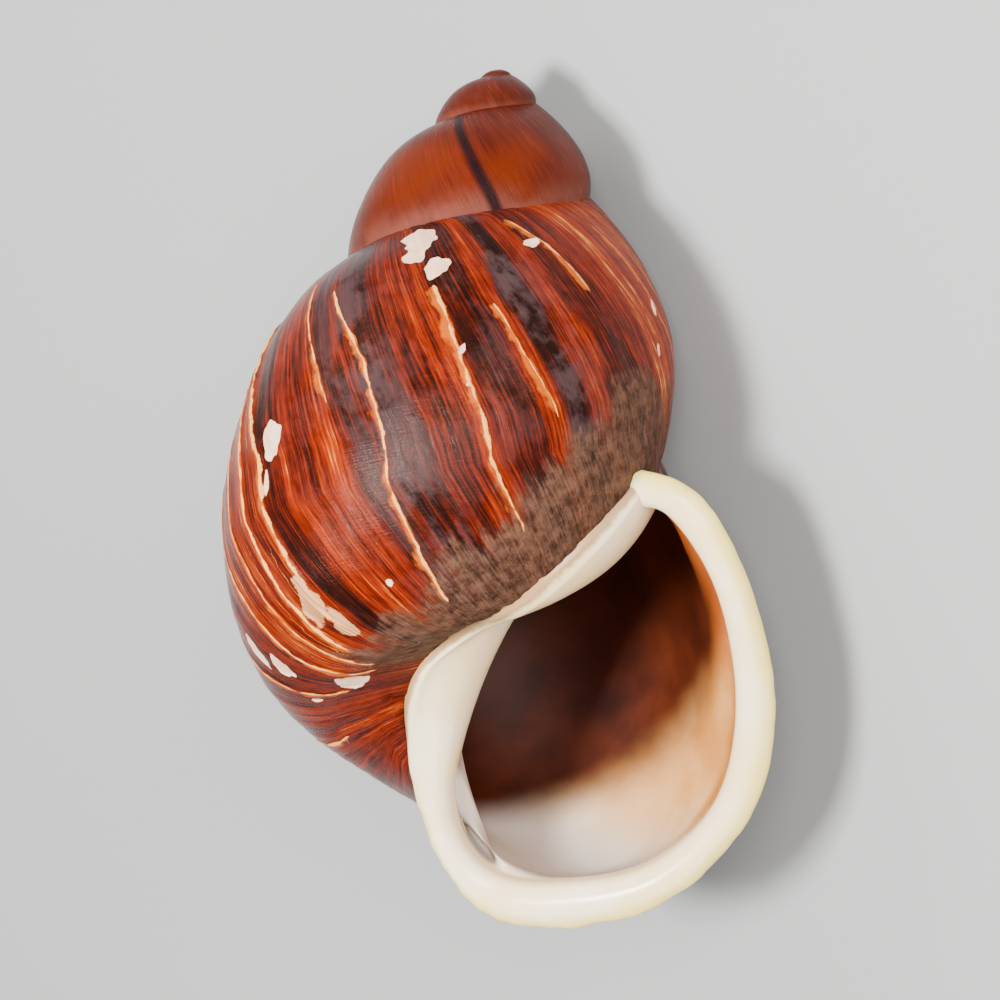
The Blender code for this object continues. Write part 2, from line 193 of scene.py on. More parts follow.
# The lip around the mouth, in the mouth plane
lip = {
    # outer and inner edge across and up in the mouth plane, from the top corner
    # down the right side, round the bottom and up over the columella
    "outer": [(23.4, 28.8), (32.4, 25.0), (39.2, 12.5), (41.9, -3.5), (38.2, -18.0), (27.6, -29.9),
              (12.7, -34.9), (2.2, -33.6), (-4.0, -26.5), (-7.1, -16.5), (-8.8, -5.0)],
    "inner": [(22.4, 23.4), (28.2, 22.4), (34.4, 12.5), (36.8, -2.5), (33.8, -16.2), (24.5, -25.6),
              (12.0, -28.9), (3.6, -28.2), (-1.2, -23.0), (-2.2, -15.2), (-0.2, -5.0)],
    # shares of the way round at which the right side, the bottom, the floor and the column end
    "rightShare": 0.31, "bottomShare": 0.60, "floorShare": 0.72, "columnShare": 0.86,
    "lipColumns": 320, "callusColumns": 110, "profileRows": 44, "turnInRows": 22, "tubeRows": 60,
    "bulge": 1.35, "deepest": -1.0,
}
# How the skin widens to the lip and sinks behind it, in stations, turns and millimetres
behindLip = {"stations": (1.7, 1.95), "turns": (-0.56, -0.45), "slope": 0.35, "slopeFrom": -2.0,
             "slopeLength": 4, "margin": 3.0, "depths": (-26.0, -9.0), "insets": (0.5, 4.0), "behind": 4.0}


def lipEdges(share):
    return smoothCurve(lip["outer"], share), smoothCurve(lip["inner"], share)


def insideLip(points):  # how far in from the lip's outer edge in the mouth plane, and the way out
    outer, inner = lipEdges(np.linspace(0, 1, 120))
    away = unit(outer - inner)
    place = np.stack([(points - mouthOrigin) @ mouthRight, (points - mouthOrigin) @ mouthUp], axis=-1)
    inset, wayOut = np.empty(place.shape[:-1]), np.empty(place.shape)
    for row in range(len(place)):
        gap = place[row][:, None] - outer
        nearest = np.argmin((gap**2).sum(axis=-1), axis=1)
        gap = gap[np.arange(len(nearest)), nearest]
        inward = (gap * away[nearest]).sum(axis=1) < 0
        inset[row] = np.hypot(gap[:, 0], gap[:, 1]) * np.where(inward, 1, -1)
        wayOut[row] = away[nearest]
    return inset, wayOut[..., :1] * mouthRight + wayOut[..., 1:] * mouthUp


def fitBehindLip(points, t, s):  # near the flap the skin widens to the lip and stays behind it
    inset, wayOut = insideLip(points)
    lift = (points - mouthOrigin) @ mouthFront
    near = smooth(s, *behindLip["stations"]) * smooth(t, *behindLip["turns"])
    slope = behindLip["slope"] * np.clip(behindLip["slopeFrom"] - lift, 0, behindLip["slopeLength"])
    widen = np.maximum(inset - behindLip["margin"] + slope, 0) * near * smooth(lift, *behindLip["depths"])
    sink = smooth(inset, *behindLip["insets"]) * near * np.maximum(lift + behindLip["behind"], 0)
    return points + widen[..., None] * wayOut - sink[..., None] * mouthFront


bearing, tip = math.radians(lying["bearing"]), math.radians(lying["tip"])
topWay = np.array([math.cos(bearing) * math.cos(tip), math.sin(bearing) * math.cos(tip), math.sin(tip)])
apexWay = unit(np.array([0.0, 0.0, 1.0]) - topWay * topWay[2])
restTurn = np.stack([np.cross(apexWay, topWay), apexWay, topWay])


def lay(points):  # from the coiling frame to where the shell lies, in metres
    laid = points * 0.001 @ restTurn.T + np.array(lying["axisTop"])
    laid[:, 2] = np.maximum(laid[:, 2], 0.00002)
    return laid


def newGrid(name, columns, rows):  # a flat grid and how far along and up each of its points is
    bpy.ops.object.select_all(action="DESELECT")
    bpy.ops.mesh.primitive_grid_add(x_subdivisions=columns, y_subdivisions=rows, size=1)
    piece = bpy.context.object
    piece.name = piece.data.name = name
    flat = np.empty(len(piece.data.vertices) * 3)
    piece.data.vertices.foreach_get("co", flat)
    return piece, flat[0::3] + 0.5, flat[1::3] + 0.5


def giveValues(piece, name, values):  # values at each point, for the finish to read
    values = np.asarray(values, dtype=np.float32)
    kind, field = ("FLOAT_VECTOR", "vector") if values.ndim == 2 else ("FLOAT", "value")
    piece.data.attributes.new(name, kind, "POINT").data.foreach_set(field, values.ravel())


def finishPiece(piece, points, material, flip=False):  # shape, smooth, colour and place a piece
    piece.data.vertices.foreach_set("co", lay(points).ravel())
    piece.data.update()
    bpy.ops.object.select_all(action="DESELECT")
    piece.select_set(True)
    bpy.context.view_layer.objects.active = piece
    bpy.ops.object.mode_set(mode="EDIT")
    bpy.ops.mesh.select_all(action="SELECT")
    bpy.ops.mesh.remove_doubles(threshold=0.000002)
    if flip:
        bpy.ops.mesh.flip_normals()
    bpy.ops.object.mode_set(mode="OBJECT")
    bpy.ops.object.shade_smooth()
    piece.data.materials.clear()
    piece.data.materials.append(material)
    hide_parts("shell")
    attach(piece, "root")
    print(piece.name, len(piece.data.polygons), "faces")


def addNode(tree, kind, inputs=None, **settings):
    made = tree.nodes.new(kind)
    for key, value in settings.items():
        setattr(made, key, value)
    for key, value in (inputs or {}).items():
        if isinstance(value, bpy.types.NodeSocket):
            tree.links.new(value, made.inputs[key])
        else:
            made.inputs[key].default_value = value
    return made


def maths(tree, operation, a, b=0.0):
    return addNode(tree, "ShaderNodeMath", {0: a, 1: b}, operation=operation).outputs[0]


def fade(tree, value, low, high, start=0.0, end=1.0):
    made = addNode(tree, "ShaderNodeMapRange", {0: value, 1: low, 2: high, 3: start, 4: end},
                   interpolation_type="SMOOTHSTEP")
    return made.outputs[0]


def tint(tree, share, under, over):  # one colour laid over another
    under = under if isinstance(under, bpy.types.NodeSocket) else (*under, 1)
    over = over if isinstance(over, bpy.types.NodeSocket) else (*over, 1)
    made = addNode(tree, "ShaderNodeMix", {0: share, 6: under, 7: over}, data_type="RGBA")
    return made.outputs[2]


def speckle(tree, vector, scale, detail=4.0, roughness=0.55):
    made = addNode(tree, "ShaderNodeTexNoise", {"Vector": vector, "Scale": scale, "Detail": detail,
                                                "Roughness": roughness})
    return made.outputs["Fac"]


def stretch(tree, vector, scale):
    return addNode(tree, "ShaderNodeMapping", {"Vector": vector, "Scale": scale}).outputs[0]


def valueOf(tree, name):
    return addNode(tree, "ShaderNodeAttribute", attribute_name=name)


def colourSteps(tree, share, steps):  # colours met one after the other as share rises
    made = addNode(tree, "ShaderNodeValToRGB", {0: share})
    ramp = made.color_ramp
    while len(ramp.elements) < len(steps):
        ramp.elements.new(0.5)
    for element, (place, colour) in zip(ramp.elements, steps):
        element.position = place
        element.color = (*colour, 1)
    return made.outputs[0]


# The brown outer skin. Places are (growth line, station); sizes in millimetres
skin = {
    "ribs": 0.09, "fineRibs": 0.05, "dents": 0.16, "pits": 0.25, "chipDepth": 0.16,
    "restLines": [  # (station, growth line) down the shell, half width, ridge height
        ([(0.33, -0.637), (0.42, -0.636), (0.73, -0.631), (1.05, -0.626), (1.3, -0.623),
          (1.5, -0.621)], 0.17, 0.12),
        ([(0.03, -0.735), (0.085, -0.743), (0.21, -0.756), (0.37, -0.761), (0.55, -0.760)], 0.13, 0.10),
        ([(0.45, -0.6740), (0.72, -0.674), (0.92, -0.677), (1.1, -0.681)], 0.10, 0.08),
        ([(0.15, -0.519), (0.60, -0.526), (0.9, -0.530)], 0.10, 0.10),
        ([(0.25, -0.549), (0.65, -0.566), (1.06, -0.558), (1.45, -0.540), (1.75, -0.532)], 0.15, 0.12),
        ([(0.08, -0.438), (0.55, -0.446), (0.97, -0.4580), (1.33, -0.449), (1.7, -0.438)], 0.22, 0.45),
        ([(0.30, -0.425), (0.8, -0.433), (1.30, -0.426), (1.9, -0.415)], 0.16, 0.30),
        ([(0.5, -0.402), (1.3, -0.404), (2.1, -0.392)], 0.10, 0.2),
        ([(0.4, -0.372), (1.4, -0.374), (2.2, -0.36)], 0.12, 0.15),
        ([(0.3, -0.30), (2.2, -0.31)], 0.12, 0.18),
        ([(0.1, -0.845), (1.05, -0.85)], 0.07, 0.08),
        ([(0.05, -0.925), (1.1, -0.93)], 0.07, 0.08),
        ([(0.1, -0.20), (2.2, -0.21)], 0.16, 0.22),
        ([(0.1, -0.09), (2.3, -0.08)], 0.14, 0.25)],
    "chips": [  # line, station, half width, half length, turn in degrees
        (-0.6429, 0.080, 2.5, 1.8, 0), (-0.6310, 0.190, 1.6, 1.3, 15), (-0.6462, 0.265, 1.5, 1.9, -30),
        (-0.6380, 0.135, 1.9, 1.5, 0),
        (-0.4735, 0.900, 2.0, 2.6, 10), (-0.7425, 0.195, 0.75, 1.25, -62), (-0.8385, 0.575, 0.6, 1.2, -15),
        (-0.3332, 2.055, 2.0, 2.2, 10), (-0.3383, 1.690, 1.3, 2.1, 20), (-0.3301, 1.550, 1.25, 2.9, 22),
        (-0.5064, 1.510, 0.5, 0.6, 0), (-0.4600, 1.060, 0.42, 1.8, 5), (-0.6345, 0.680, 0.42, 0.75, -20),
        (-0.6270, 0.845, 0.30, 0.4, 0), (-0.8095, 0.785, 0.4, 1.0, -15), (-0.295, 1.93, 0.5, 0.9, 40),
        (-0.14, 0.8, 1.6, 2.4, 20), (-0.26, 1.2, 1.1, 2.0, -10), (-0.05, 1.5, 1.0, 1.8, 15)],
    "peeled": [(-0.4380, 1.500, 1.6, 3.6, 20), (-0.4425, 1.640, 1.1, 3.0, 28)],
    # how light the skin is along the growth, 0 nearly black to 1 golden
    "tone": [(-1.1, 0.50), (-0.93, 0.52), (-0.88, 0.74), (-0.84, 0.70), (-0.80, 0.74), (-0.775, 0.56),
             (-0.755, 0.36), (-0.735, 0.34), (-0.724, 0.62), (-0.712, 0.52), (-0.702, 0.18), (-0.690, 0.18),
             (-0.683, 0.70), (-0.673, 0.72), (-0.665, 0.30), (-0.640, 0.30), (-0.633, 0.36),
             (-0.6285, 0.66), (-0.615, 0.56), (-0.600, 0.42), (-0.585, 0.40), (-0.576, 0.24),
             (-0.562, 0.26), (-0.552, 0.50), (-0.542, 0.28), (-0.532, 0.36), (-0.524, 0.64),
             (-0.500, 0.56), (-0.480, 0.50), (-0.467, 0.24), (-0.459, 0.18), (-0.453, 0.62),
             (-0.43, 0.68), (-0.40, 0.60), (-0.36, 0.58), (-0.32, 0.46), (-0.28, 0.52), (-0.22, 0.58),
             (-0.15, 0.46), (-0.08, 0.56), (0.0, 0.50), (0.12, 0.55)],
    # how much greyish colour lies on the skin along the growth: partly a greyish blooming of the skin,
    # partly painted sheen where highlights fall
    "greyAndSheen": [(-1.1, 0.1), (-0.74, 0.1), (-0.71, 0.45), (-0.70, 0.95), (-0.69, 0.85), (-0.683, 0.1),
             (-0.67, 0.1), (-0.664, 0.3), (-0.65, 0.35), (-0.635, 0.3), (-0.62, 0.1), (-0.59, 0.2),
             (-0.578, 0.7), (-0.56, 0.8), (-0.55, 0.35), (-0.54, 0.6), (-0.53, 0.2), (-0.48, 0.1),
             (-0.45, 0.1), (0.1, 0.12)],
    "spireBand": -1.6255, "spireBandHalf": 0.0085,
    "callusEdge": [(-0.46, 2.64), (-0.54, 2.55), (-0.61, 2.51), (-0.72, 2.335), (-0.783, 1.875),
                   (-0.822, 1.63), (-0.86, 1.435), (-0.902, 1.275)],
}


def alongGrowth(table, line, s):  # a value set by growth line, its borders wandering a little
    lines, amounts = zip(*table)
    wander = 0.005 * grain(s * 2.3, line * 9, 5) + 0.0022 * grain(s * 9, line * 30, 6)
    return np.interp(line + wander, lines, amounts)


def chipDistance(chips, points):  # millimetres from the nearest chip's edge, negative inside
    farAway, widest = 5.0, 14  # no chip is wider, so those on other whorls are left out
    nearest = np.full(len(points), farAway)
    for number, (line, s, wide, tall, turn) in enumerate(chips):
        t = growthTurns(np.array([line]), np.array([s]))
        centre = skinPoint(t, np.array([s]))[0]
        down = unit(skinPoint(t, np.array([s + 0.01])) - skinPoint(t, np.array([s - 0.01])))[0]
        side = np.cross(down, skinNormal(t, np.array([s]))[0])
        away = points - centre
        x, y = away @ side, away @ down
        c, d = math.cos(math.radians(turn)), math.sin(math.radians(turn))
        x, y = (c * x + d * y) / wide, (c * y - d * x) / tall
        angle = np.arctan2(y, x)
        lobes = 1 + 0.10 * np.sin(3 * angle + number) + 0.07 * np.sin(5 * angle + 2.3 * number)
        lobes += 0.05 * np.sin(9 * angle + number * 1.7)
        distance = (np.hypot(x, y) - lobes) * min(wide, tall)
        distance = np.where(np.linalg.norm(away, axis=1) < widest, distance, farAway)
        nearest = np.minimum(nearest, distance)
    return nearest


def callusDistance(points):  # millimetres from the callus's outer edge
    edge = smoothCurve(skin["callusEdge"], np.linspace(0, 1, 60))
    edge = skinPoint(edge[:, 0], edge[:, 1])
    nearest = np.full(len(points), 1e3)
    for spot in edge:
        nearest = np.minimum(nearest, np.linalg.norm(points - spot, axis=1))
    return nearest


def dressSkin(line, s, t):  # the skin with its relief, and the values that its finish reads
    points = skinPoint(t, s)
    normals = skinNormal(t, s)
    reach = np.hypot(points[:, 0], points[:, 1])
    size = np.clip(reach / 30, 0.15, 1)
    growth = np.stack([line, s, 0 * s], axis=1)
    worn = 1 - smooth(callusDistance(points) + 2.5 * grain(line * 60, s * 9, 3), 4, 20)
    worn *= smooth(-line, 0.30, 0.42)
    chips = chipDistance(skin["chips"], points)
    peeled = chipDistance(skin["peeled"], points)
    nearest = np.full(len(line), 99.0)
    rests = np.tile([9.0, 0.0, 0.2], (len(line), 1))  # distance, share, half width
    lift = np.zeros_like(line)
    for path, half, height in skin["restLines"]:
        stations, lines = zip(*path)
        wander = 0.0012 * grain(s * 7 + lines[0] * 70, 0 * s, 8) + 0.0005 * grain(s * 31, 0 * s, 9)
        away = (line - np.interp(s, stations, lines) - wander) * 2 * math.pi * np.maximum(reach, 2)
        ends = smooth(s, stations[0] - 0.05, stations[0] + 0.05)
        ends *= 1 - smooth(s, stations[-1] - 0.12, stations[-1] + 0.05)
        score = np.abs(away) + 9 * (1 - ends)
        close = ends * (1 - smooth(np.abs(away), 2.0, 3.2))
        rests = np.where((score < nearest)[:, None], np.stack([away, close, half + 0 * s], axis=1), rests)
        nearest = np.minimum(nearest, score)
        rise = np.exp(-np.abs(away) / np.where(away > 0, 2.2, 0.25))
        lift += height * ends * rise * np.clip(reach / 12, 0, 1)
    young = smooth(line, -1.35, -1.05)
    lift += size * (0.35 + 0.65 * young) * (skin["ribs"] * grain(line * 88, s * 1.3, 1)
                                            + skin["fineRibs"] * grain(line * 190, s * 2.2, 2))
    lift += size * young * skin["dents"] * grain(line * 24, s * 8, 4) * grain(line * 9, s * 3, 6)
    lift += worn * skin["pits"] * (np.minimum(grain(line * 120, s * 22, 7), 0.1) - 0.1)
    lift -= skin["chipDepth"] * (1 - smooth(np.minimum(chips, peeled), -0.35, 0.1))
    drift = 0.002 * grain(s * 2.5, 0 * s, 12)
    band = 1 - smooth(np.abs(line - skin["spireBand"] - drift), 0.45 * skin["spireBandHalf"],
                      1.5 * skin["spireBandHalf"])
    values = {"growth": growth, "worn": worn, "chips": chips, "peeled": peeled, "restLines": rests,
              "young": young, "band": band, "tone": alongGrowth(skin["tone"], line, s),
              "greyAndSheen": alongGrowth(skin["greyAndSheen"], line, s)}
    return points + normals * lift[:, None], values


skinColours = {
    "body": [(0.0, (0.009, 0.0026, 0.0020)), (0.20, (0.022, 0.0042, 0.0026)),
             (0.38, (0.075, 0.0065, 0.0022)), (0.54, (0.145, 0.0105, 0.0020)),
             (0.70, (0.215, 0.0180, 0.0008)), (0.85, (0.33, 0.060, 0.005)), (1.0, (0.62, 0.24, 0.055))],
    "spire": [(0.0, (0.022, 0.0028, 0.0014)), (0.35, (0.050, 0.0058, 0.0024)),
              (0.65, (0.088, 0.0105, 0.0042)), (1.0, (0.17, 0.034, 0.016))],
    # the spire's pinkish colour near the sutures is a painted highlight
    "spireWarm": (0.12, 0.0130, 0.0008), "spireSheen": (0.15, 0.045, 0.030),
    "spireBand": (0.010, 0.0030, 0.0040),
    # the greyish colour is partly the skin's blooming and partly painted sheen
    "greyAndSheen": (0.058, 0.034, 0.034), "mudDark": (0.020, 0.0088, 0.0055), "mudPale": (0.130, 0.060, 0.036),
    "cream": (0.80, 0.35, 0.085), "creamEdge": (0.46, 0.085, 0.002), "tan": (0.34, 0.13, 0.040),
    "tanPale": (0.66, 0.36, 0.17), "chalk": (0.76, 0.45, 0.29), "chalkPale": (0.88, 0.64, 0.46),
}


def skinFinish():  # streaks along the growth lines, rest lines, chips and worn mud, with greyish blooming that is partly painted sheen, and painted sheen by the spire's sutures
    material = bpy.data.materials.new("brownSkin")
    material.use_nodes = True
    tree = material.node_tree
    surface = tree.nodes["Principled BSDF"]
    growth = valueOf(tree, "growth").outputs["Vector"]
    young = valueOf(tree, "young").outputs["Fac"]
    worn = valueOf(tree, "worn").outputs["Fac"]
    place = addNode(tree, "ShaderNodeTexCoord").outputs["Object"]

    def centred(value, amount):
        return maths(tree, "MULTIPLY", maths(tree, "SUBTRACT", value, 0.5), amount)

    def total(*parts):
        result = parts[0]
        for part in parts[1:]:
            result = maths(tree, "ADD", result, part)
        return result

    blotches = speckle(tree, place, 120, 4)
    warp = addNode(tree, "ShaderNodeTexNoise", {"Vector": place, "Scale": 200, "Detail": 3})
    shifted = addNode(tree, "ShaderNodeVectorMath", {0: warp.outputs["Color"], 1: (0.0022, 0.02, 0.0)},
                      operation="MULTIPLY").outputs[0]
    shifted = addNode(tree, "ShaderNodeVectorMath", {0: growth, 1: shifted}, operation="ADD").outputs[0]
    hair = speckle(tree, stretch(tree, shifted, (520, 3.4, 1)), 1.0, 5, 0.6)
    streaks = speckle(tree, stretch(tree, shifted, (150, 1.3, 1)), 1.0, 5, 0.6)
    bands = speckle(tree, stretch(tree, shifted, (38, 0.8, 1)), 1.0, 4, 0.55)
    flecks = speckle(tree, stretch(tree, shifted, (120, 14, 1)), 1.0, 4, 0.6)
    tone = total(valueOf(tree, "tone").outputs["Fac"], -0.09, centred(hair, 1.45), centred(streaks, 1.05),
                 centred(bands, 0.70), centred(flecks, 0.45))
    body = colourSteps(tree, tone, skinColours["body"])
    patch = fade(tree, total(blotches, centred(flecks, 0.5)), 0.40, 0.60)
    # greyish patches along the growth: partly blooming of the skin, partly painted sheen where highlights
    # fall
    greyShare = maths(tree, "MULTIPLY", valueOf(tree, "greyAndSheen").outputs["Fac"], patch)
    body = tint(tree, maths(tree, "MULTIPLY", greyShare, 0.85), body, skinColours["greyAndSheen"])
    spireTone = total(0.5, centred(hair, 0.9), centred(streaks, 0.9), centred(bands, 0.5))
    spire = colourSteps(tree, spireTone, skinColours["spire"])
    warm = fade(tree, speckle(tree, place, 48, 2), 0.45, 0.60)
    spire = tint(tree, maths(tree, "MULTIPLY", warm, 0.6), spire, skinColours["spireWarm"])
    across = addNode(tree, "ShaderNodeSeparateXYZ", {0: growth}).outputs[1]
    # painted highlight: pinkish sheen on the lower part of each spire whorl, next to the suture
    sutureSheen = maths(tree, "MULTIPLY", fade(tree, across, 0.80, 1.12), fade(tree, blotches, 0.35, 0.65))
    spire = tint(tree, maths(tree, "MULTIPLY", sutureSheen, 0.75), spire, skinColours["spireSheen"])
    bandShare = maths(tree, "MULTIPLY", valueOf(tree, "band").outputs["Fac"],
                      fade(tree, blotches, 0.2, 0.5, 0.7, 1.0))
    spire = tint(tree, bandShare, spire, skinColours["spireBand"])
    colour = tint(tree, young, spire, body)
    dirt = speckle(tree, place, 520, 5, 0.7)
    scratch = speckle(tree, stretch(tree, shifted, (420, 9, 1)), 1.0, 4, 0.65)
    caked = total(maths(tree, "MULTIPLY", dirt, 0.55), maths(tree, "MULTIPLY", scratch, 0.45))
    mud = tint(tree, fade(tree, caked, 0.36, 0.64), skinColours["mudDark"], skinColours["mudPale"])
    ragged = total(worn, centred(streaks, 0.9), centred(scratch, 0.7), centred(dirt, 0.4))
    mudShare = fade(tree, ragged, 0.40, 0.75, 0.0, 0.92)
    colour = tint(tree, mudShare, colour, mud)
    restLine = valueOf(tree, "restLines").outputs["Vector"]
    rest = addNode(tree, "ShaderNodeSeparateXYZ", {0: restLine}).outputs
    beside = maths(tree, "ABSOLUTE", rest[0])
    faded = maths(tree, "MULTIPLY", maths(tree, "SUBTRACT", 1.0, rest[1]), 9.0)
    broken = total(centred(speckle(tree, place, 380, 3), 5.5), centred(flecks, 4.0), faded)
    thin = total(maths(tree, "DIVIDE", beside, rest[2]), broken)
    mouthSide = maths(tree, "GREATER_THAN", rest[0], 0.0)
    narrowing = maths(tree, "SUBTRACT", 3.6, maths(tree, "MULTIPLY", mouthSide, 2.4))
    edging = maths(tree, "MULTIPLY", beside, narrowing)
    edging = total(edging, centred(flecks, 3.0), centred(blotches, 3.0), centred(streaks, 2.0), faded)
    colour = tint(tree, fade(tree, edging, 0.20, 1.10, 0.85, 0.0), colour, skinColours["creamEdge"])
    colour = tint(tree, fade(tree, thin, 0.60, 1.20, 0.95, 0.0), colour, skinColours["cream"])
    ruffle = centred(speckle(tree, place, 520, 3), 0.5)
    peeledEdge = total(valueOf(tree, "peeled").outputs["Fac"], centred(speckle(tree, place, 480, 3), 2.0))
    peeledShare = fade(tree, peeledEdge, -0.15, 0.10, 0.9, 0.0)
    tan = tint(tree, fade(tree, hair, 0.35, 0.65), skinColours["tan"], skinColours["tanPale"])
    colour = tint(tree, peeledShare, colour, tan)
    chipEdge = total(valueOf(tree, "chips").outputs["Fac"], ruffle)
    chipShare = fade(tree, chipEdge, -0.05, 0.04, 1.0, 0.0)
    chalk = tint(tree, fade(tree, speckle(tree, place, 300, 4), 0.35, 0.7), skinColours["chalk"],
                 skinColours["chalkPale"])
    colour = tint(tree, chipShare, colour, chalk)
    tree.links.new(colour, surface.inputs["Base Color"])
    rough = total(fade(tree, hair, 0.3, 0.7, 0.10, 0.20), maths(tree, "MULTIPLY", mudShare, 0.42),
                  maths(tree, "MULTIPLY", maths(tree, "MAXIMUM", chipShare, peeledShare), 0.25),
                  maths(tree, "MULTIPLY", maths(tree, "SUBTRACT", 1.0, young), 0.08))
    tree.links.new(rough, surface.inputs["Roughness"])
    surface.inputs["Specular IOR Level"].default_value = 0.07
    surface.inputs["Specular Tint"].default_value = (1.0, 0.72, 0.58, 1)
    spirals = speckle(tree, stretch(tree, growth, (60, 170, 1)), 1.0, 3, 0.5)
    grit = maths(tree, "MULTIPLY", dirt, maths(tree, "MULTIPLY", mudShare, 1.5))
    height = total(maths(tree, "MULTIPLY", hair, 0.9), maths(tree, "MULTIPLY", streaks, 0.9),
                   maths(tree, "MULTIPLY", spirals, 0.45), grit)
    height = maths(tree, "SUBTRACT", height, maths(tree, "MULTIPLY", chipShare, 0.5))
    bump = addNode(tree, "ShaderNodeBump", {"Height": height, "Strength": 0.6, "Distance": 0.00018})
    tree.links.new(bump.outputs[0], surface.inputs["Normal"])
    return material


skinMaterial = skinFinish()
print("outer skin finish ready")

# The whorls of the spire
spire = {"columns": 700, "rows": 46, "first": -4.05, "tuck": 0.05}
piece, u, v = newGrid("spireWhorls", spire["columns"], spire["rows"])
line = spire["first"] + (-1 - spire["first"]) * u**0.85
below = sutureAngle(growthTurns(line, 1.1 + 0 * line) + 1) / (math.pi / 2) + spire["tuck"]
station = below * v
turns = growthTurns(line, station)
points, values = dressSkin(line, station, turns)
for name, row in values.items():
    giveValues(piece, name, row)
finishPiece(piece, points, skinMaterial)

# The body whorl, which turns out at its end and runs under the lip
body = {"columns": 540, "rows": 150, "flareColumns": 16, "flareTurns": 0.055, "rimShare": 0.22,
        "tuck": (0.5, 0.7), "rimLift": (-1.3, -0.4), "leaving": 0.4, "arriving": 0.7}


def rimTarget(s):  # where the skin ends, on the back of the lip
    share = np.where(s <= 1, lip["rightShare"] * s,
                     lip["rightShare"] + (lip["bottomShare"] - lip["rightShare"]) * (s - 1))
    share = np.where(s > 2, lip["bottomShare"] + body["rimShare"] * (s - 2), share)
    outer, inner = lipEdges(share)
    away = unit(outer - inner)
    onColumn = smooth(s, 2.1, 2.9)
    edge = outer - away * (body["tuck"][0] + body["tuck"][1] * onColumn)[..., None]
    return inMouth(edge[..., 0], edge[..., 1], body["rimLift"][0] + body["rimLift"][1] * onColumn)


piece, u, v = newGrid("bodyWhorl", body["columns"], body["rows"])
rowPlaces = np.concatenate([np.linspace(0, 1, 61), np.linspace(1, 2, 67)[1:], np.linspace(2, 3, 25)[1:]])
station = np.interp(v, np.linspace(0, 1, len(rowPlaces)), rowPlaces)
flareStart = 1 - body["flareColumns"] / body["columns"]
ends = mouthTurns(station) - body["flareTurns"] - 0.10 * smooth(station, 2.3, 2.9)
lastLine = mouthStart - body["flareTurns"]
line = -1 + (lastLine + 1) * np.minimum(u / flareStart, 1)
turns = growthTurns(line, station)
over = smooth(line, -0.35, lastLine)
shift = ends - growthTurns(lastLine + 0 * line, station)
turns = np.where(line < lastLine - 1e-6, turns + over * shift, ends)
points, values = dressSkin(line, station, turns)
shape = (body["rows"] + 1, body["columns"] + 1)


def fitRows(points, t):  # the fit behind the lip, row by row
    return fitBehindLip(points.reshape(*shape, 3), t.reshape(shape), station.reshape(shape)).reshape(-1, 3)


start = skinPoint(ends, station)
leave = unit(start - skinPoint(ends - 0.004, station))
points, start = fitRows(points, turns), fitRows(start, ends)
target = rimTarget(station)
f = np.clip((u - flareStart) / (1 - flareStart), 0, 1)[:, None]
reach = np.linalg.norm(target - start, axis=1, keepdims=True)
arrive = unit(target - start) * reach * body["arriving"]
flare = bend(start, leave * reach * body["leaving"], target, arrive, f)
points = np.where(f > 0, flare + (points - start) * (1 - f), points)
values["growth"][:, 0] += body["flareTurns"] * f[:, 0]
for name, row in values.items():
    giveValues(piece, name, row)
finishPiece(piece, points, skinMaterial)


# The lip, the callus over the whorl behind the mouth, and the inside of the last turn.
# Round the loop 0-1 follows the lip and 1-2 the callus back to the top corner
def tubePoint(t, loop):  # the inside of the tube
    radius, level, baseRadius, baseLevel = whorl(t)
    before = whorl(t - 1)
    wall, glaze, column = coil["wall"], coil["glaze"], coil["columella"]
    cornerAngle = sutureAngle(t) + coil["roofCorner"]
    cornerOut, cornerDown = lowerCurve(t - 1, cornerAngle, glaze)
    floor, roof = baseLevel + wall, before[3] - glaze
    stops = [0, lip["rightShare"], lip["bottomShare"], lip["floorShare"], lip["columnShare"], 1, 2]
    part = [np.clip((loop - low) / (high - low), 0, 1) for low, high in zip(stops, stops[1:])]
    lowOut, lowDown = lowerCurve(t, math.pi / 2 * (1 + part[1]), -wall)
    roofOut, roofDown = lowerCurve(t - 1, math.pi + (cornerAngle - math.pi) * part[5], glaze)
    above = 1 - part[0]
    fullness = coil["shoulder"] * (1 - np.cos(2 * math.pi * t)) * part[0] * above**2
    sideOut = radius - wall - (radius - wall - cornerOut) * above**2 * (1 - fullness)
    where = [loop <= high for high in stops[1:]]
    out = np.select(where, [sideOut, lowOut, baseRadius + (column - baseRadius) * part[2], column + 0 * t,
                            column + (before[2] - column) * part[4], roofOut])
    down = np.select(where, [level + (cornerDown - level) * above, lowDown, floor,
                             floor + (roof - floor) * part[3], roof, roofDown])
    return around(out, down, t)


relief = {"left": 20, "below": 36, "perMillimetre": 2, "cells": (100, 140), "farBack": -12.0, "easing": 8}


def frontOfSkin():  # how far the skin stands in front of the mouth plane, on a half-millimetre grid
    t, s = np.meshgrid(np.linspace(-1.0, -0.25, 600), np.linspace(1.0, 3.0, 350))
    points = fitBehindLip(skinPoint(t, s), t, s) - mouthOrigin
    fine, (wide, tall) = relief["perMillimetre"], relief["cells"]
    i = np.clip(((points @ mouthRight + relief["left"]) * fine).astype(int), 0, wide - 1)
    j = np.clip(((points @ mouthUp + relief["below"]) * fine).astype(int), 0, tall - 1)
    grid = np.full((wide, tall), relief["farBack"])
    np.maximum.at(grid, (i, j), points @ mouthFront)
    for _ in range(relief["easing"]):
        for axis in (0, 1):
            grid = (np.roll(grid, 1, axis) + 2 * grid + np.roll(grid, -1, axis)) / 4
    return grid


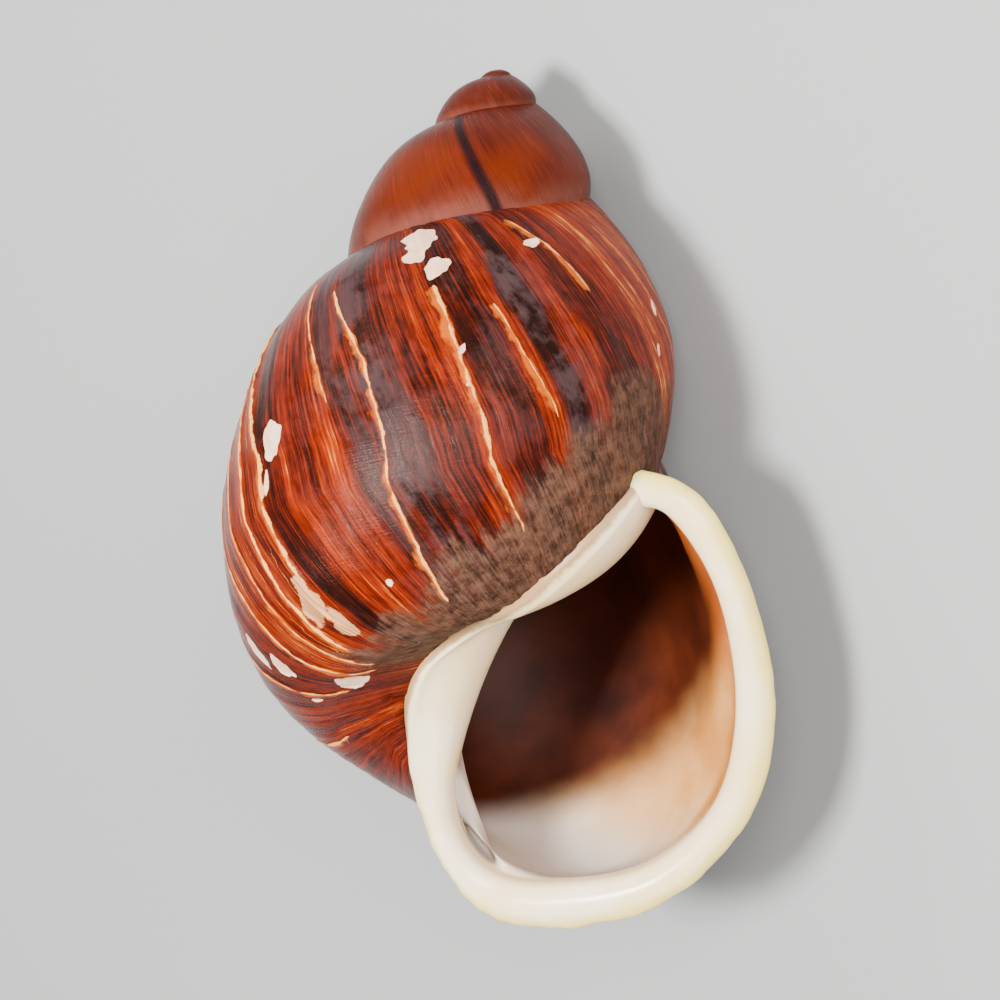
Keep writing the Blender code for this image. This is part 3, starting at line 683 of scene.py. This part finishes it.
def sampleGrid(grid, across, height):  # the grid's value between its cells
    fine, (wide, tall) = relief["perMillimetre"], relief["cells"]
    x = np.clip((across + relief["left"]) * fine - 0.5, 0, wide - 2)
    y = np.clip((height + relief["below"]) * fine - 0.5, 0, tall - 2)
    i, j = x.astype(int), y.astype(int)
    f, g = x - i, y - j
    return ((grid[i, j] * (1 - f) + grid[i + 1, j] * f) * (1 - g)
            + (grid[i, j + 1] * (1 - f) + grid[i + 1, j + 1] * f) * g)


def higher(a, b, blend=1.2):  # the greater of two, eased where they meet
    return (a + b + np.sqrt((a - b)**2 + blend**2)) / 2 - 0.1 * blend


callus = {"thick": 1.5, "sunk": 0.5, "from": 0.88, "whole": 1.0, "ends": 1.94}
# Where the lip's section ends and the tube starts, in turns and millimetres
join = {"turnsBack": 0.075, "flapTurns": -0.24, "flapFrom": 0.60, "flapWhole": 0.74, "endLift": -2.0,
        "hiddenLift": -6.5, "bendTurns": 0.32, "leaving": 0.7, "arriving": 0.8, "tubeDepth": 200}
skinNear = (0.62, 0.72)  # from here round the loop the lip rests on the skin
columns = lip["lipColumns"] + lip["callusColumns"]
rows = lip["profileRows"] + lip["turnInRows"] + lip["tubeRows"]
piece, u, v = newGrid("mouthLining", columns, rows)
loop = np.interp(u, [0, lip["lipColumns"] / columns, 1], [0, 1, 2])
row = v * rows
tubeStart = lip["profileRows"] + lip["turnInRows"]
profile = np.clip(row / lip["profileRows"], 0, 1)
turnIn = np.clip((row - lip["profileRows"]) / lip["turnInRows"], 0, 1)
tube = np.clip((row - tubeStart) / lip["tubeRows"], 0, 1)

lipShare = np.minimum(loop, 1)
corner = (np.clip(loop, 1, 2) - 1)[:, None]
outer, inner = lipEdges(lipShare)
outer = outer * (1 - corner) + np.array(lip["outer"][0]) * corner
inner = inner * (1 - corner) + np.array(lip["inner"][0]) * corner
away = unit(outer - inner)
wide = np.linalg.norm(outer - inner, axis=1)
flap = smooth(loop, 0.68, 0.80)
wave = 0.22 * grain(loop * 34, 0 * loop, 21) + 0.12 * grain(loop * 90, 0 * loop, 22)
section = np.stack([  # out from the inner edge, and forwards, of the lip's section from its back
    np.stack([outwards + 0 * wide, forwards + 0 * wide], axis=1) for outwards, forwards in [
        (wide - 2.2 - flap * 2.0, -2.6 - flap * 1.6), (wide - 0.9, -2.0 - flap * 0.8),
        (wide - 0.05 + 0.3 * wave, -1.1), (wide + 0.12 + wave, -0.3), (wide - 0.35 + wave, 0.55),
        (wide * 0.68, lip["bulge"]), (wide * 0.35, lip["bulge"] * 0.92), (0.55, 0.45), (0.0, -0.6),
        (-0.1, join["endLift"])]])
each = np.arange(len(loop))
last = len(section) - 1
spot = profile * last
k = np.minimum(spot.astype(int), last - 1)
f = (spot - k)[:, None]
p1, p2 = section[k, each], section[k + 1, each]
p0 = np.where(k[:, None] > 0, section[np.maximum(k - 1, 0), each], 2 * p1 - p2)
p3 = np.where(k[:, None] + 1 < last, section[np.minimum(k + 2, last), each], 2 * p2 - p1)
offset = throughPoints(p0, p1, p2, p3, f)
edgePlace = inner + away * offset[:, :1]
skinRelief = frontOfSkin()
onSkin = sampleGrid(skinRelief, edgePlace[:, 0], edgePlace[:, 1])
cover = np.interp(spot, range(10), [-2.2, -1.6, -0.8, 0.0, 0.7, 1.3, 1.3, 0.9, 0.5, -0.6])
lifted = higher(offset[:, 1], onSkin + cover)
lifts = offset[:, 1] + (lifted - offset[:, 1]) * smooth(loop, *skinNear) * (loop <= 1)
lipPoints = inMouth(edgePlace[:, 0], edgePlace[:, 1], lifts)

# The turn into the tube starts where the lip's section ends and hides behind the flap
lowStation = np.interp(loop, [0, lip["rightShare"], lip["bottomShare"], 1], [0, 1, 2, 2.4])
lowTurns = float(mouthTurns(np.array([2.0]))[0]) - join["turnsBack"]
aroundTurns = np.interp(loop, [join["flapFrom"], join["flapWhole"], 0.86, 1.0, 1.2, 1.8, 2.0],
                        [lowTurns, join["flapTurns"], -0.25, -0.20, -0.12, -0.10,
                         mouthStart - join["turnsBack"]])
joinTurns = np.where(loop < join["flapFrom"], mouthTurns(lowStation) - join["turnsBack"], aroundTurns)
behindFlap = smooth(loop, 0.62, 0.74) * (1 - smooth(loop, 0.92, 1.03))
beside = np.interp(loop, [0.62, 0.68, 0.74, 0.80, 0.90], [0.0, 0.2, 0.6, 0.9, 1.0])[:, None]
hiddenPlace = inner + away * beside
hidden = inMouth(hiddenPlace[:, 0], hiddenPlace[:, 1], join["hiddenLift"])
bendAway = (hidden - tubePoint(joinTurns, loop)) * behindFlap[:, None]


def ringPoint(t):  # the tube, bent behind the flap where it starts
    bent = (1 - smooth(joinTurns - t, 0.0, join["bendTurns"]))[:, None]
    return tubePoint(t, loop) + bendAway * bent


joined, further = ringPoint(joinTurns), ringPoint(joinTurns - 0.01)
endPlace = inner - away * 0.1
onSkin = higher(join["endLift"], sampleGrid(skinRelief, endPlace[:, 0], endPlace[:, 1]) - 0.6)
endLift = join["endLift"] + (onSkin - join["endLift"]) * smooth(loop, *skinNear) * (loop <= 1)
lipEnd = inMouth(endPlace[:, 0], endPlace[:, 1], endLift)
span = np.linalg.norm(joined - lipEnd, axis=1, keepdims=True)
turning = bend(lipEnd, -mouthFront * span * join["leaving"], joined,
               unit(further - joined) * span * join["arriving"], turnIn[:, None])
inTube = ringPoint(joinTurns + (lip["deepest"] - joinTurns) * tube)
free = np.where(tube[:, None] > 0, inTube, turning)
free = np.where(row[:, None] <= lip["profileRows"], lipPoints, free)

# The callus lies on the whorl behind: from its outer edge inwards along that whorl
edgeShare = np.interp(loop, [callus["from"], 0.94, 1.0, 1.2, 1.4, 1.6, 1.8, 2.0], np.linspace(0, 1, 8))
edge = smoothCurve(skin["callusEdge"], edgeShare)
edgeRows = 10
inward = np.clip((row - edgeRows) / (tubeStart - edgeRows), 0, 1)
inward = 0.42 * inward + 0.58 * inward**2.2
roofCorner = sutureAngle(joinTurns) + coil["roofCorner"]
roofAngle = math.pi + (roofCorner - math.pi) * np.clip(loop - 1, 0, 1)
onColumn = np.clip((loop - lip["columnShare"]) / (1 - lip["columnShare"]), 0, 1)
roofStation = np.where(loop > 1, roofAngle / (math.pi / 2), 3 - onColumn)
turnsOn = edge[:, 0] + (joinTurns - 1 - edge[:, 0]) * inward
stationOn = edge[:, 1] + (roofStation - edge[:, 1]) * inward
height = np.interp(row, [0, edgeRows, 14, 20, 30, lip["profileRows"], tubeStart],
                   [-1.6, -callus["sunk"], 0.35, 0.9, 1.0, 0.95, 0.0])
height = np.where(height > 0, height * callus["thick"], height)
height = height + coil["glaze"] * smooth(row, 30, tubeStart)
onWhorl = skinPoint(turnsOn, stationOn) + skinNormal(turnsOn, stationOn) * height[:, None]
onWhorl = np.where(tube[:, None] > 0, inTube, onWhorl)
share = smooth(loop, callus["from"], callus["whole"]) * (1 - smooth(loop, callus["ends"], 2.0))
points = free + (onWhorl - free) * share[:, None]
depth = np.where(row <= lip["profileRows"], 0, turnIn * span[:, 0] + tube * join["tubeDepth"])
giveValues(piece, "loop", loop)
giveValues(piece, "face", row / lip["profileRows"])
giveValues(piece, "depth", depth)


liningColours = {
    "white": (0.94, 0.70, 0.36), "whitePale": (0.95, 0.80, 0.56), "yellow": (0.94, 0.72, 0.16),
    "tan": (0.60, 0.235, 0.045), "tanPale": (0.76, 0.37, 0.12), "mustard": (0.48, 0.16, 0.008),
    # the orange here is painted light glowing through the wall; the brown is partly the lining's colour and
    # partly painted shade
    "paintedGlow": (0.46, 0.085, 0.006), "brown": (0.020, 0.0026, 0.0008), "brownPale": (0.070, 0.0115, 0.0028),
    "pearl": (0.50, 0.42, 0.375), "root": (0.30, 0.125, 0.045),
}


def liningFinish():  # white lip with yellow on its rim, tan and pearl inside, painted light glowing through the wall on the right, brown deep down that is partly painted shade
    material = bpy.data.materials.new("porcelainLip")
    material.use_nodes = True
    tree = material.node_tree
    surface = tree.nodes["Principled BSDF"]
    place = addNode(tree, "ShaderNodeTexCoord").outputs["Object"]
    loopAt = valueOf(tree, "loop").outputs["Fac"]
    face = valueOf(tree, "face").outputs["Fac"]
    depthAt = valueOf(tree, "depth").outputs["Fac"]

    def product(*parts):
        result = parts[0]
        for part in parts[1:]:
            result = maths(tree, "MULTIPLY", result, part)
        return result

    cloud = speckle(tree, place, 90, 4)
    fine = speckle(tree, place, 420, 5, 0.7)
    colour = tint(tree, fade(tree, cloud, 0.3, 0.7), liningColours["white"], liningColours["whitePale"])
    onRim = fade(tree, maths(tree, "ADD", face, product(cloud, 0.20)), 0.50, 0.74, 1.0, 0.0)
    lowOnLip = fade(tree, loopAt, 0.80, 0.92, 0.9, 0.15)
    colour = tint(tree, product(onRim, lowOnLip), colour, liningColours["yellow"])
    fromCallus = fade(tree, loopAt, 0.84, 0.94)
    rootEdge = maths(tree, "ADD", face, product(maths(tree, "SUBTRACT", fine, 0.5), 0.16))
    root = product(fade(tree, rootEdge, 0.33, 0.42, 1.0, 0.0), fade(tree, loopAt, 0.72, 0.90))
    colour = tint(tree, product(root, 0.8), colour, liningColours["root"])
    wander = product(maths(tree, "SUBTRACT", speckle(tree, place, 60, 3), 0.5), 7.0)
    deep = maths(tree, "ADD", depthAt, wander)
    onRight = fade(tree, loopAt, 0.38, 0.52, 1.0, 0.0)
    pearlShare = product(fade(tree, depthAt, 0.2, 1.8), fade(tree, loopAt, 0.38, 0.52),
                         fade(tree, loopAt, 0.9, 0.95, 1.0, 0.0))
    colour = tint(tree, product(pearlShare, 0.95), colour, liningColours["pearl"])
    tan = tint(tree, fade(tree, cloud, 0.35, 0.7), liningColours["tan"], liningColours["tanPale"])
    colour = tint(tree, product(fade(tree, deep, 0.5, 3.0), onRight), colour, tan)
    ring = product(fade(tree, depthAt, 0.2, 0.9), fade(tree, deep, 3.0, 7.0, 1.0, 0.0),
                   fade(tree, loopAt, 0.10, 0.18), fade(tree, loopAt, 0.40, 0.50, 1.0, 0.0))
    colour = tint(tree, product(ring, 0.9), colour, liningColours["mustard"])
    # painted light: orange light glowing through the thin wall, on the right side a little way in
    paintedGlow = product(fade(tree, deep, 1.0, 4.0), fade(tree, loopAt, 0.20, 0.30, 1.0, 0.0))
    colour = tint(tree, product(paintedGlow, 0.9), colour, liningColours["paintedGlow"])
    # the lining turns dark brown deeper in: partly its own brown colour, partly painted shade where the
    # throat lies in shadow
    reach = addNode(tree, "ShaderNodeMapRange", {0: loopAt, 1: 0.18, 2: 0.62, 3: 6.0, 4: 42.0}).outputs[0]
    brownAndShadeShare = fade(tree, maths(tree, "SUBTRACT", deep, reach), -6.0, 10.0)
    brownAndShadeShare = maths(tree, "MAXIMUM", brownAndShadeShare, product(fromCallus, fade(tree, depthAt, 5, 12)))
    brown = tint(tree, fade(tree, speckle(tree, place, 70, 4), 0.3, 0.75), liningColours["brown"],
                 liningColours["brownPale"])
    colour = tint(tree, brownAndShadeShare, colour, brown)
    tree.links.new(colour, surface.inputs["Base Color"])
    rough = fade(tree, depthAt, 0.5, 8.0, 0.22, 0.42)
    tree.links.new(rough, surface.inputs["Roughness"])
    surface.inputs["Specular IOR Level"].default_value = 0.35
    surface.inputs["Subsurface Weight"].default_value = 0.12
    surface.inputs["Subsurface Radius"].default_value = (1.0, 0.6, 0.35)
    surface.inputs["Subsurface Scale"].default_value = 0.0018
    layers = speckle(tree, place, 300, 4, 0.6)
    bump = addNode(tree, "ShaderNodeBump", {"Height": layers, "Strength": 0.25, "Distance": 0.0002})
    tree.links.new(bump.outputs[0], surface.inputs["Normal"])
    return material


finishPiece(piece, points, liningFinish(), flip=True)

# The floor, the light and the camera
studio = {"floor": 3.0, "floorColour": (0.34, 0.34, 0.335), "floorRoughness": 0.7, "ambient": 0.20,
          "aim": (0, 0, 0.03),
          "lamps": [  # place, size across and up, power
              ((0.095, 0.143, 0.90), (0.20, 0.20), 22.0), ((0.55, -0.95, 0.55), (0.6, 0.4), 6.0),
              ((0.62, 0.25, 0.50), (0.40, 0.40), 11.0), ((-0.36, 0.85, 0.66), (0.4, 0.4), 7.0)]}
bpy.ops.object.select_all(action="DESELECT")
bpy.ops.mesh.primitive_plane_add(size=studio["floor"])
floor = bpy.context.object
floor.name = "studioFloor"
paint = bpy.data.materials.new("paleFloor")
paint.use_nodes = True
coat = paint.node_tree.nodes["Principled BSDF"].inputs
coat["Base Color"].default_value = (*studio["floorColour"], 1)
coat["Roughness"].default_value = studio["floorRoughness"]
floor.data.materials.append(paint)

world = bpy.data.worlds.new("studioAir")
bpy.context.scene.world = world
world.use_nodes = True
air = world.node_tree.nodes["Background"].inputs
air["Color"].default_value = (1, 1, 1, 1)
air["Strength"].default_value = studio["ambient"]
for number, (spot, size, power) in enumerate(studio["lamps"]):
    bpy.ops.object.light_add(type="AREA", location=spot)
    lamp = bpy.context.object
    lamp.name = f"softLamp{number}"
    lamp.data.shape = "RECTANGLE"
    lamp.data.size, lamp.data.size_y = size
    lamp.data.energy = power
    lamp.rotation_euler = (Vector(spot) - Vector(studio["aim"])).to_track_quat("Z", "Y").to_euler()
print("studio ready")

view = {"place": (0.36051, 0.07923, 0.36550), "right": (0.6948, -0.1760, -0.6973),
        "back": (0.7192, 0.1568, 0.6769), "lens": 135.0, "film": 36.0, "nearest": 0.01}
bpy.ops.object.camera_add(location=view["place"])
camera = bpy.context.object
back, right = Vector(view["back"]).normalized(), Vector(view["right"]).normalized()
camera.rotation_euler = Matrix((right, back.cross(right), back)).transposed().to_euler()
camera.data.lens = view["lens"]
camera.data.sensor_width = view["film"]
camera.data.clip_start = view["nearest"]
bpy.context.scene.camera = camera
print("camera ready")
